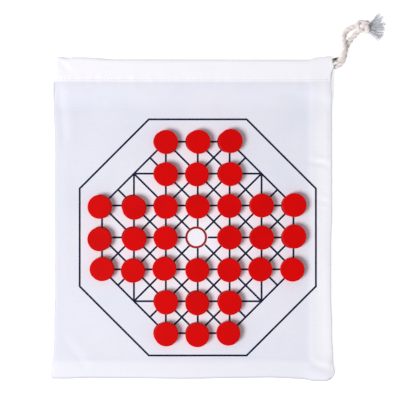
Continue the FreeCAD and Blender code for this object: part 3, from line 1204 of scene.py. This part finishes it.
@dataclass
class Relief:
    """How far the front lies off its flat height. Its own sizes are in millimetres."""

    plan: BagPlan
    band: float = 0.32
    board_reach: float = 92.0
    broad_height: float = 0.30
    broad_size: tuple[float, float] = (38, 30)
    small_height: float = 0.09
    small_size: tuple[float, float] = (15, 12)
    under_board: float = 0.05
    band_top: tuple[float, float] = (112, 106)
    ripple: float = 0.22
    ripple_size: float = 4.5
    ripple_reach: float = 5.0
    stitch_dip: float = 0.12
    stitch_reach: float = 0.8
    left_edge: tuple[float, float] = (-110.2, -105.5)
    right_edge: tuple[float, float] = (110.0, 106.5)
    deepest: float = 0.75
    creases: tuple[Crease, ...] = (
        Crease((91, 44.5), (111, 41.5), 0.85, 1.7),
        Crease((97, 13.5), (111, 11.5), 0.45, 1.5),
        Crease((100, 6.0), (111, 4.0), 0.3, 1.2),
        Crease((94, -115.5), (110, -119.0), 0.8, 1.8),
        Crease((-106.5, 106), (-103.5, 66), 0.35, 3.2),
        Crease((-109, 127), (-99, 117), 0.3, 1.6),
        Crease((62, 100), (104, 92), 0.25, 3.5),
        Crease((-60, 98), (-98, 86), 0.2, 4.0),
        Crease((-104, -96), (-88, -116), 0.2, 3.0),
    )
    puffs: tuple[Puff, ...] = (
        Puff((101, -121), (9, 6), 0.9),
        Puff((103, 60), (6, 14), 0.35),
        Puff((103, -20), (5, 26), 0.25),
        Puff((-101, 20), (6, 40), 0.25),
        Puff((-20, -120), (45, 6), 0.15),
    )

    def wave(self, x: float, y: float) -> float:
        """Returns the cloth's slow unevenness at a place, all in millimetres."""
        broad = noise.noise(Vector((x / self.broad_size[0], y / self.broad_size[1], 3.1)))
        small = noise.noise(Vector((x / self.small_size[0], y / self.small_size[1], 8.4)))
        return self.broad_height * broad + self.small_height * small

    def at(self, x: float, y: float) -> float:
        """Returns how far the front is moved up at a place, in and out in metres."""
        plan = self.plan
        across, up = x / MM, y / MM
        aside, along = abs(across - plan.board.x / MM), abs(up - plan.board.y / MM)
        away = max(aside, along, (aside + along) * 0.72)
        open_cloth = eased(self.board_reach - 14, self.board_reach + 6, away)
        wave = self.wave(across, up)
        flat = min(wave * 0.8, 0.0) - self.under_board + max(wave, 0.0) * 0.1
        lift = lerp(flat, wave, open_cloth)
        side = eased(plan.allowance_x / MM - 2.2, plan.allowance_x / MM + 1.2, across)
        foot = eased(plan.allowance_y / MM + 2.2, plan.allowance_y / MM - 1.2, up)
        doubled = max(side * eased(*self.band_top, up), foot)
        lift = lerp(lift, max(lift, -0.1) + self.band, doubled)
        lift += sum(shape.at(across, up) for shape in (*self.creases, *self.puffs))
        seam = up - plan.stitch_y / MM
        uneven = noise.noise(Vector((across / self.ripple_size, 0.3, 5.2)))
        lift += self.ripple * uneven * math.exp(-(seam / self.ripple_reach) ** 2)
        lift -= self.stitch_dip * math.exp(-(seam / self.stitch_reach) ** 2)
        edge = eased(*self.left_edge, across) * eased(*self.right_edge, across)
        return max(lift, -self.deepest) * edge * MM


class Across(Enum):
    """The stretches of cloth on the way round the bag."""

    BACK_SEAM = "back seam"
    BACK = "back"
    FOLD = "fold"
    FRONT = "front"
    FRONT_SEAM = "front seam"


class Along(Enum):
    """The stretches of cloth on the way up the bag and down inside its mouth."""

    SEAM = "seam"
    PANEL = "panel"
    CASING = "casing"
    MOUTH = "mouth"
    LINING = "lining"


@dataclass(frozen=True)
class Column:
    """One line of the cloth that runs up the bag: its stretch, and a share or an angle of it."""

    stretch: Across
    at: float


@dataclass(frozen=True)
class Row:
    """One line of the cloth that runs round the bag: its stretch, and a place, angle or step of it."""

    stretch: Along
    at: float


@dataclass
class BagCloth:
    """The bag's one length of cloth: folded at the left, sewn round, and hemmed at the mouth."""

    plan: BagPlan
    outline: Outline
    relief: Relief
    finish: CottonCloth
    thickness: float = 0.45 * MM
    roll: float = 0.35 * MM
    back_round: float = 0.3 * MM
    rise: float = 23 * MM
    sewn_below: float = 3 * MM
    cut_spare: float = 34 * MM
    roll_steps: int = 4
    fold_steps: int = 8
    back_steps: int = 40
    front_steps: int = 144
    middle_column: int = -70
    middle_row: int = 40
    # How much painted shade the pressed and sewn edges get.
    edge_shade_share: float = 0.8
    side_fade: tuple[float, float] = (-8 * MM, 14 * MM)
    foot_grey: float = 0.35
    # Painted light: the cloth near the board's middle is lightened towards the doubled colour.
    board_painted_light: float = 0.72
    board_painted_light_fade: tuple[float, float] = (120 * MM, 50 * MM)
    front_lining: Pairs = (
        (1.15, 0.0), (0.75, 0.01), (0.5, 0.2), (0.33, 0.65), (0.15, 0.93), (-0.25, 1.0), (-1.2, 1.0),
        (-2.2, 1.0), (-3.2, 1.0), (-4.2, 1.0), (-5.2, 1.0),
    )
    back_lining: Pairs = (
        (0.95, 0.0), (0.25, 0.05), (-0.1, 0.4), (-0.3, 0.78), (-0.7, 0.97), (-1.4, 1.0), (-3.7, 1.0),
        (-4.4, 0.97), (-4.8, 0.78), (-5.0, 0.4), (-5.35, 0.05),
    )

    @property
    def half(self) -> float:
        """Half the cloth's thickness."""
        return self.thickness / 2

    @property
    def foot(self) -> float:
        """Where the flat of the panels starts, above the roll of the bottom seam."""
        return self.plan.bottom + self.half + self.roll

    def columns(self) -> list[Column]:
        """Returns the cloth's columns, from the back's seam round the fold to the front's seam."""
        rolls, folds, backs, fronts = self.roll_steps, self.fold_steps, self.back_steps, self.front_steps
        turns = [math.pi * step / rolls for step in range(1, rolls + 1)]
        made = [Column(Across.BACK_SEAM, turn) for turn in reversed(turns)]
        made += [Column(Across.BACK, 1 - step / backs) for step in range(backs + 1)]
        made += [Column(Across.FOLD, math.pi * (1 - step / folds)) for step in range(1, folds)]
        made += [Column(Across.FRONT, step / fronts) for step in range(fronts + 1)]
        made += [Column(Across.FRONT_SEAM, turn) for turn in turns]
        return made

    def rows(self) -> list[Row]:
        """Returns the cloth's rows, from the bottom seam over the mouth to the hem inside."""
        plan = self.plan
        below, above = plan.hem - 4 * MM, plan.hem + 3.5 * MM
        panel = stations(self.foot, below, 1.8 * MM) + stations(below, plan.hem, MM)
        casing = stations(plan.hem, above, 0.5 * MM) + stations(above, plan.front_exit.y, 1.4 * MM)
        rolls, folds = self.roll_steps, self.fold_steps
        made = [Row(Along.SEAM, math.pi * step / rolls) for step in range(rolls)]
        made += [Row(Along.PANEL, place) for place in panel]
        made += [Row(Along.CASING, place) for place in casing]
        made += [Row(Along.MOUTH, math.pi * step / folds) for step in range(folds + 1)]
        made += [Row(Along.LINING, step) for step in range(len(self.front_lining) + 1)]
        return made

    def layers(self, row: Row, x: float) -> tuple[Vector, Vector]:
        """Finds the front and the back cloth on one row.

        Args:
            row: the row.
            x: how far across the bag.

        Returns:
            The middle of the front cloth and of the back cloth, as points with their x left at 0.
        """
        plan = self.plan
        front_z = plan.panel_top - self.half
        back_z = self.half
        back_middle = plan.mouth - self.half - self.back_round
        if row.stretch is Along.SEAM:
            y = plan.bottom + self.half + self.roll * (1 - math.sin(row.at))
            lift = self.roll * (1 + math.cos(row.at))
            return Vector((0, y, front_z - lift)), Vector((0, y, back_z + lift))
        if row.stretch is Along.PANEL:
            climb = eased(plan.hem - self.rise, plan.hem, row.at)
            risen = lerp(front_z, plan.casing_top - self.half, climb)
            return Vector((0, row.at, risen)), Vector((0, row.at, back_z))
        if row.stretch is Along.CASING:
            share = (row.at - plan.hem) / (plan.front_exit.y - plan.hem)
            front = Vector((0, row.at, plan.casing_top - self.half))
            return front, Vector((0, lerp(plan.hem, back_middle, share), back_z))
        if row.stretch is Along.MOUTH:
            round_front = plan.mouth_round - self.half
            front = Vector((0, plan.front_exit.y + round_front * math.sin(row.at),
                            plan.front_exit.z + round_front * math.cos(row.at)))
            back = Vector((0, back_middle + self.back_round * math.sin(row.at),
                           back_z + self.back_round * (1 - math.cos(row.at))))
            return front, back
        return self.linings(row, plan.back_run(x) + plan.hump_half)

    def linings(self, row: Row, hump_edge: float) -> tuple[Vector, Vector]:
        """Finds the turned-in hems, which lie over the back run of cord.

        Args:
            row: a row of the lining.
            hump_edge: where the hump over that cord ends, towards the mouth.

        Returns:
            The middle of the front's hem and of the back's hem, as points with their x left at 0.
        """
        plan = self.plan
        front_low, front_high = 2 * plan.cloth + 0.28 * MM, plan.hump_top + 0.22 * MM
        back_low, back_high = self.thickness * 1.65, plan.hump_top - 0.26 * MM
        step = int(row.at)
        if step == len(self.front_lining):
            return Vector((0, plan.hem, front_high)), Vector((0, plan.hem, back_low))
        front_off, front_share = self.front_lining[step]
        back_off, back_share = self.back_lining[step]
        front_y = min(hump_edge + front_off * MM, plan.front_exit.y)
        return (Vector((0, front_y, lerp(front_low, front_high, front_share))),
                Vector((0, hump_edge + back_off * MM, lerp(back_low, back_high, back_share))))

    def seamed(self, row: Row) -> float:
        """Returns 1 where a row's sides are sewn, and 0 where its casing is open."""
        if row.stretch is Along.PANEL:
            return eased(self.plan.hem, self.plan.hem - self.sewn_below, row.at)
        return 1.0 if row.stretch is Along.SEAM else 0.0

    def place(self, row: Row, column: Column) -> Vector:
        """Finds one corner of the cloth.

        Args:
            row: its row.
            column: its column.

        Returns:
            The corner, before the bag's edges wander.
        """
        plan = self.plan
        edge = plan.left + self.half
        sewn = plan.right - self.half - self.roll
        if column.stretch is Across.FOLD:
            front, back = self.layers(row, plan.left)
            half = (front - back) / 2
            spot = (front + back) / 2 + half * math.cos(column.at)
            spot.x = edge + half.length * (1 - math.sin(column.at))
            return spot
        if column.stretch in (Across.FRONT, Across.BACK):
            front, back = self.layers(row, plan.left)
            x = lerp(edge + (front - back).length / 2, sewn, column.at)
            front, back = self.layers(row, x)
            spot = front if column.stretch is Across.FRONT else back
            spot.x = x
            if column.stretch is Across.FRONT and row.stretch in (Along.PANEL, Along.CASING):
                spot.z += self.relief.at(x, spot.y)
            return spot
        front, back = self.layers(row, plan.right)
        upward = column.stretch is Across.BACK_SEAM
        spot = back if upward else front
        seamed = self.seamed(row)
        turned = self.roll * (1 - math.cos(column.at))
        spot.x = sewn + lerp((self.roll + self.half) * column.at / math.pi,
                             self.roll * math.sin(column.at), seamed)
        spot.z += seamed * (turned if upward else -turned)
        return spot

    def painted_edge_shade(self, row: Row, column: Column) -> bool:
        """Returns whether a corner of the cloth lies on an edge that was pressed or sewn sharp, which gets
        painted shade.
        """
        if row.stretch is Along.LINING:
            return False
        if row.stretch is Along.SEAM or row.at == self.foot:
            return True
        if row.stretch is Along.MOUTH:
            return math.pi * 0.3 < row.at < math.pi * 0.6
        if column.stretch is Across.FOLD:
            return row.stretch is Along.PANEL or math.pi * 0.3 < column.at < math.pi * 0.6
        return column.stretch in (Across.FRONT_SEAM, Across.BACK_SEAM)

    def backing_painted_light_and_shade(self, row: Row, column: Column, spot: Vector) -> float:
        """Finds how much cloth lies behind a corner, with painted light near the board's middle and painted
        shade on pressed edges.

        Args:
            row: the corner's row.
            column: the corner's column.
            spot: the corner.

        Returns:
            From 0 for none to 1 for a whole hem or the painted light near the board's middle, and below 0
            for the painted shade on a pressed edge.
        """
        plan = self.plan
        # Painted shade on pressed and sewn edges, given as a backing below 0.
        if self.painted_edge_shade(row, column):
            return -self.edge_shade_share
        if row.stretch in (Along.CASING, Along.MOUTH, Along.LINING):
            return 1.0
        ends = eased(plan.hem, 60 * MM, spot.y) * eased(plan.bottom - 14 * MM, -92 * MM, spot.y)
        side = eased(*self.side_fade, spot.x - plan.allowance_x) * lerp(0.5, 1.0, ends)
        foot = eased(1.5 * MM, -1.5 * MM, spot.y - plan.allowance_y) * self.foot_grey
        hemmed = eased(plan.hem - 1.2 * MM, plan.hem, spot.y)
        # Painted light: the cloth is lighter the nearer it lies to the board's middle.
        away = abs(spot.x - plan.board.x) + abs(spot.y - plan.board.y)
        return max(side, foot, hemmed, eased(*self.board_painted_light_fade, away) * self.board_painted_light)

    @staticmethod
    def lengths(points: Sequence[Vector]) -> list[float]:
        """Returns how far along their line each point lies."""
        return list(accumulate(((after - before).length for before, after in zip(points, points[1:])),
                               initial=0.0))

    def grid(self) -> bmesh.types.BMesh:
        """Returns the cloth as one sheet, with its UV map in metres and its backing, painted light and
        painted shade.
        """
        rows, columns = self.rows(), self.columns()
        shape = bmesh.new()
        bmesh.ops.create_grid(shape, x_segments=len(columns) - 1, y_segments=len(rows) - 1, size=0.5)
        mark = shape.verts.layers.float.new("backing_painted_light_and_shade")
        flat = shape.loops.layers.uv.new("cloth")
        up = self.lengths([self.place(row, columns[self.middle_column]) for row in rows])
        round_bag = self.lengths([self.place(rows[self.middle_row], column) for column in columns])
        steps: dict[bmesh.types.BMVert, tuple[int, int]] = {}
        for vertex in shape.verts:
            number = round((vertex.co.x + 0.5) * (len(columns) - 1))
            line = round((vertex.co.y + 0.5) * (len(rows) - 1))
            steps[vertex] = (number, line)
            spot = self.place(rows[line], columns[number])
            vertex[mark] = self.backing_painted_light_and_shade(rows[line], columns[number], spot)
            vertex.co = self.outline.lay(self.plan, spot)
        for face in shape.faces:
            for loop in face.loops:
                number, line = steps[loop.vert]
                loop[flat].uv = (round_bag[number], up[line])
        turn = self.plan.front_turn.x + self.plan.turn_width * 0.55
        lining = len(rows) - 1 - len(self.front_lining)
        inside = [face for face in shape.faces
                  if min(steps[vertex][1] for vertex in face.verts) >= lining
                  and min(vertex.co.x for vertex in face.verts) < turn]
        bmesh.ops.delete(shape, geom=inside, context="FACES")
        return shape

    def build(self) -> bpy.types.Object:
        """Returns:
            The cloth's piece.
        """
        shape = self.grid()
        area = sum(face.calc_area() for face in shape.faces)
        piece = add_piece("bag_cloth", finished_mesh(shape), self.finish,
                          ["back_panel", "front_panel", "left_fold", "back_casing", "front_casing"])
        give_thickness(piece, self.thickness)
        return piece


@dataclass
class TurnedAllowance:
    """The two raw edges that a seam leaves turned inside the bag."""

    node: str
    plan: BagPlan
    outline: Outline
    finish: CottonCloth
    thickness: float = 0.4 * MM
    cell: float = 4 * MM
    layer_shares: tuple[float, float] = (0.28, 0.72)

    def build(self) -> None:
        """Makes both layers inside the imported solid's box."""
        low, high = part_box(self.node)
        wide, tall = high.x - low.x, high.y - low.y
        shape = bmesh.new()
        flat = shape.loops.layers.uv.new("cloth")
        shape.verts.layers.float.new("backing_painted_light_and_shade")
        for layer in self.layer_shares:
            made = bmesh.ops.create_grid(shape, x_segments=max(4, round(wide / self.cell)),
                                         y_segments=max(4, round(tall / self.cell)), size=0.5)["verts"]
            for vertex in made:
                spot = Vector((low.x + wide * (vertex.co.x + 0.5), low.y + tall * (vertex.co.y + 0.5),
                               lerp(low.z, high.z, layer)))
                spot.z += 0.02 * MM * noise.noise(spot * 150)
                vertex.co = self.outline.lay(self.plan, spot)
        for face in shape.faces:
            for loop in face.loops:
                loop[flat].uv = (loop.vert.co.x, loop.vert.co.y)
        piece = add_piece(self.node + "_cloth", finished_mesh(shape), self.finish,
                          [self.node])
        give_thickness(piece, self.thickness)


# --- The sewing and the print -------------------------------------------------------------------------


@dataclass
class StitchRow:
    """A row of equal stitches, laid on the cloth or inside a seam."""

    node: str
    plan: BagPlan
    outline: Outline
    finish: CottonYarn
    pitch: float = 2.8 * MM
    length: float = 2.3 * MM
    width: float = 0.42 * MM
    height: float = 0.3 * MM
    proud: float = 0.12
    sway: float = 0.06

    def build(self, surface: BVHTree | None = None) -> None:
        """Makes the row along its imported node's box.

        Args:
            surface: the cloth that the row lies on, or None for a row inside a seam.
        """
        low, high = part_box(self.node)
        size = high - low
        upright = size.y > size.x
        run = size.y if upright else size.x
        count = round((run - self.length) / self.pitch) + 1
        shape = bmesh.new()
        stitch = Matrix.Diagonal((self.length / 2, self.width / 2, self.height / 2, 1))
        for index in range(count):
            gone = self.pitch * index + self.length / 2
            spot = (low + high) / 2
            spot[int(upright)] = low[int(upright)] + gone
            spot = self.outline.lay(self.plan, spot)
            sway = self.sway * noise.noise(Vector((index * 1.3, 2.0, 7.0)))
            if surface is not None:
                spot.z = height_on(surface, spot, low.z) + self.height * self.proud
            turn = Matrix.Rotation((math.pi / 2 if upright else 0.0) + sway, 4, "Z")
            bmesh.ops.create_uvsphere(shape, u_segments=6, v_segments=4, radius=1.0,
                                      matrix=Matrix.Translation(spot) @ turn @ stitch)
        add_piece(self.node + "_row", finished_mesh(shape), self.finish, [self.node])


@dataclass
class LaidPrint:
    """A printed line of the board, which follows the cloth that it is printed on."""

    node: str
    packed: bpy.types.Object
    finish: PrintedInk
    slot: str
    ink: float = 0.05 * MM
    sunk: float = 0.03 * MM
    step: float = 3.0 * MM
    merge: float = 0.002 * MM
    on_plane: float = 0.0001 * MM

    def build(self, surface: BVHTree) -> None:
        """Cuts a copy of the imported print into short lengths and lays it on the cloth.

        Args:
            surface: the cloth's surface.
        """
        shape = bmesh.new()
        shape.from_mesh(self.packed.data)
        bmesh.ops.remove_doubles(shape, verts=shape.verts, dist=self.merge)
        low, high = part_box(self.node)
        for axis, way in enumerate((Vector((1, 0, 0)), Vector((0, 1, 0)))):
            for place in stations(low[axis] + self.step, high[axis], self.step):
                everything = shape.verts[:] + shape.edges[:] + shape.faces[:]
                bmesh.ops.bisect_plane(shape, geom=everything, dist=self.on_plane,
                                       plane_co=way * place, plane_no=way)
        middle = (low.z + high.z) / 2
        for vertex in shape.verts:
            top = height_on(surface, vertex.co, low.z)
            vertex.co.z = top + self.ink if vertex.co.z > middle else top - self.sunk
        piece = add_piece(self.node + "_ink", finished_mesh(shape), self.finish, [self.node])
        piece.data.shade_flat()


# --- The counters -------------------------------------------------------------------------------------


@dataclass
class Counters:
    """The thirty-two turned counters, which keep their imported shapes."""

    nodes: dict[str, bpy.types.Object]
    paint: CounterPaint

    def build(self) -> None:
        """Paints every counter."""
        found = [node for name, node in self.nodes.items() if name.startswith("counter_")]
        for node in found:
            for slot in node.material_slots:
                slot.material = self.paint.material()
        log.info("counters: %d painted", len(found))


# --- The studio ---------------------------------------------------------------------------------------


@dataclass
class Studio:
    """The pale table, the soft lights and the camera straight above."""

    middle: Vector = field(default_factory=lambda: Vector((4.8 * MM, 13.8 * MM, 0.0)))
    eye_height: float = 0.60
    lens: float = 67.6
    sensor: float = 36.0
    table_half: float = 3.0
    table_below: float = 0.05 * MM
    key_power: float = 56.0
    key_size: float = 1.3
    key_away: float = 2.5
    key_round: float = math.radians(205)
    key_up: float = math.radians(48)
    horizon: float = 0.90
    zenith: float = 0.15
    room: Rgb = (1.0, 0.995, 0.99)

    def camera(self) -> None:
        """Sets the camera straight above the bag."""
        data = bpy.data.cameras.new("overhead")
        data.lens = self.lens
        data.sensor_width = self.sensor
        data.clip_start = 0.01
        data.clip_end = 20.0
        eye = put_in_scene("overhead", data)
        eye.location = self.middle + Vector((0, 0, self.eye_height))
        bpy.context.scene.camera = eye

    def table(self) -> None:
        """Lays the table under the bag."""
        shape = bmesh.new()
        bmesh.ops.create_grid(shape, x_segments=8, y_segments=8, size=self.table_half)
        bmesh.ops.translate(shape, verts=shape.verts, vec=(0, 0, -self.table_below))
        mesh = finished_mesh(shape)
        mesh.materials.append(TableTop().material())
        put_in_scene("table_top", mesh)

    def lights(self) -> None:
        """Hangs the soft key light and fills the room with a gentle gradient."""
        data = bpy.data.lights.new("key", "AREA")
        data.shape = "DISK"
        data.size = self.key_size
        data.energy = self.key_power
        key = put_in_scene("key", data)
        flat = math.cos(self.key_up)
        away = Vector((flat * math.cos(self.key_round), flat * math.sin(self.key_round),
                       math.sin(self.key_up)))
        key.location = self.middle + away * self.key_away
        key.rotation_euler = away.to_track_quat("Z", "Y").to_euler()
        world = bpy.data.worlds.new("room")
        world.use_nodes = True
        bpy.context.scene.world = world
        graph = Graph(world.node_tree)
        back = world.node_tree.nodes["Background"]
        split = graph.node("SeparateXYZ")
        graph.join(graph.node("TexCoord").outputs["Generated"], split.inputs["Vector"])
        level = graph.between(split.outputs["Z"], 0.0, 1.0, self.horizon, self.zenith)
        graph.join(level, back.inputs["Strength"])
        back.inputs["Color"].default_value = (*self.room, 1.0)

    def build(self) -> None:
        """Sets the camera, the table and the lights."""
        bpy.context.scene.view_settings.view_transform = "Standard"
        self.camera()
        self.table()
        self.lights()


# --- Everything ---------------------------------------------------------------------------------------


def main() -> None:
    """Builds every piece in order."""
    logging.basicConfig(level=logging.INFO, format="%(name)s: %(message)s")
    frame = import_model()
    plan = BagPlan.read()
    outline = Outline()
    Studio().build()

    cotton = CottonCloth()
    # Spots of painted shade: where the cord leaves the casing's opening, and in a crevice of the knot.
    yarn = CottonYarn(painted_shade_spots=(
        (plan.front_exit + Vector((1.5, 1.3, 1.2)) * MM, 2.9 * MM),
        (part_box("tail_knot")[1] - Vector((3.2, 1.5, 2.4)) * MM, 2.2 * MM),
    ))
    # The frayed ends' dark colour, spread by fine noise, is partly uneven tone and partly painted shade
    # that stands in for the shadows between the loose yarns.
    frayed = CottonYarn(name="frayed_cotton_painted_shade", colour=(0.92, 0.92, 0.97), shade=(0.44, 0.45, 0.50),
                        unevenness=1500.0, shaded=1.0)
    knot = EndKnot(yarn).build()
    ends = FrayedEnds(frayed).build()
    DrawCord(plan, outline, yarn).build(knot, ends)

    cloth = BagCloth(plan, outline, Relief(plan), cotton).build()
    for node in ("right_seam_allowance", "bottom_seam_allowance"):
        TurnedAllowance(node, plan, outline, cotton).build()

    surface = surface_of(cloth)
    thread = CottonYarn(name="sewing_cotton", colour=(0.84, 0.83, 0.88), shade=(0.72, 0.71, 0.77))
    StitchRow("front_hem_thread", plan, outline, thread).build(surface)
    for node in ("back_hem_thread", "right_seam_thread", "bottom_seam_thread"):
        StitchRow(node, plan, outline, thread).build()

    navy = PrintedInk(name="navy_print")
    red = PrintedInk(name="red_print", colour=(0.30, 0.004, 0.008), thin=(0.50, 0.02, 0.03))
    nodes = frame["nodes"]
    for node, ink, slot in (("border_print", navy, "navy_ink"), ("grid_print", navy, "navy_ink"),
                            ("rings_print", red, "red_ink")):
        LaidPrint(node, nodes[node], ink, slot).build(surface)

    Counters(nodes, CounterPaint()).build()


if __name__ == "__main__":
    main()
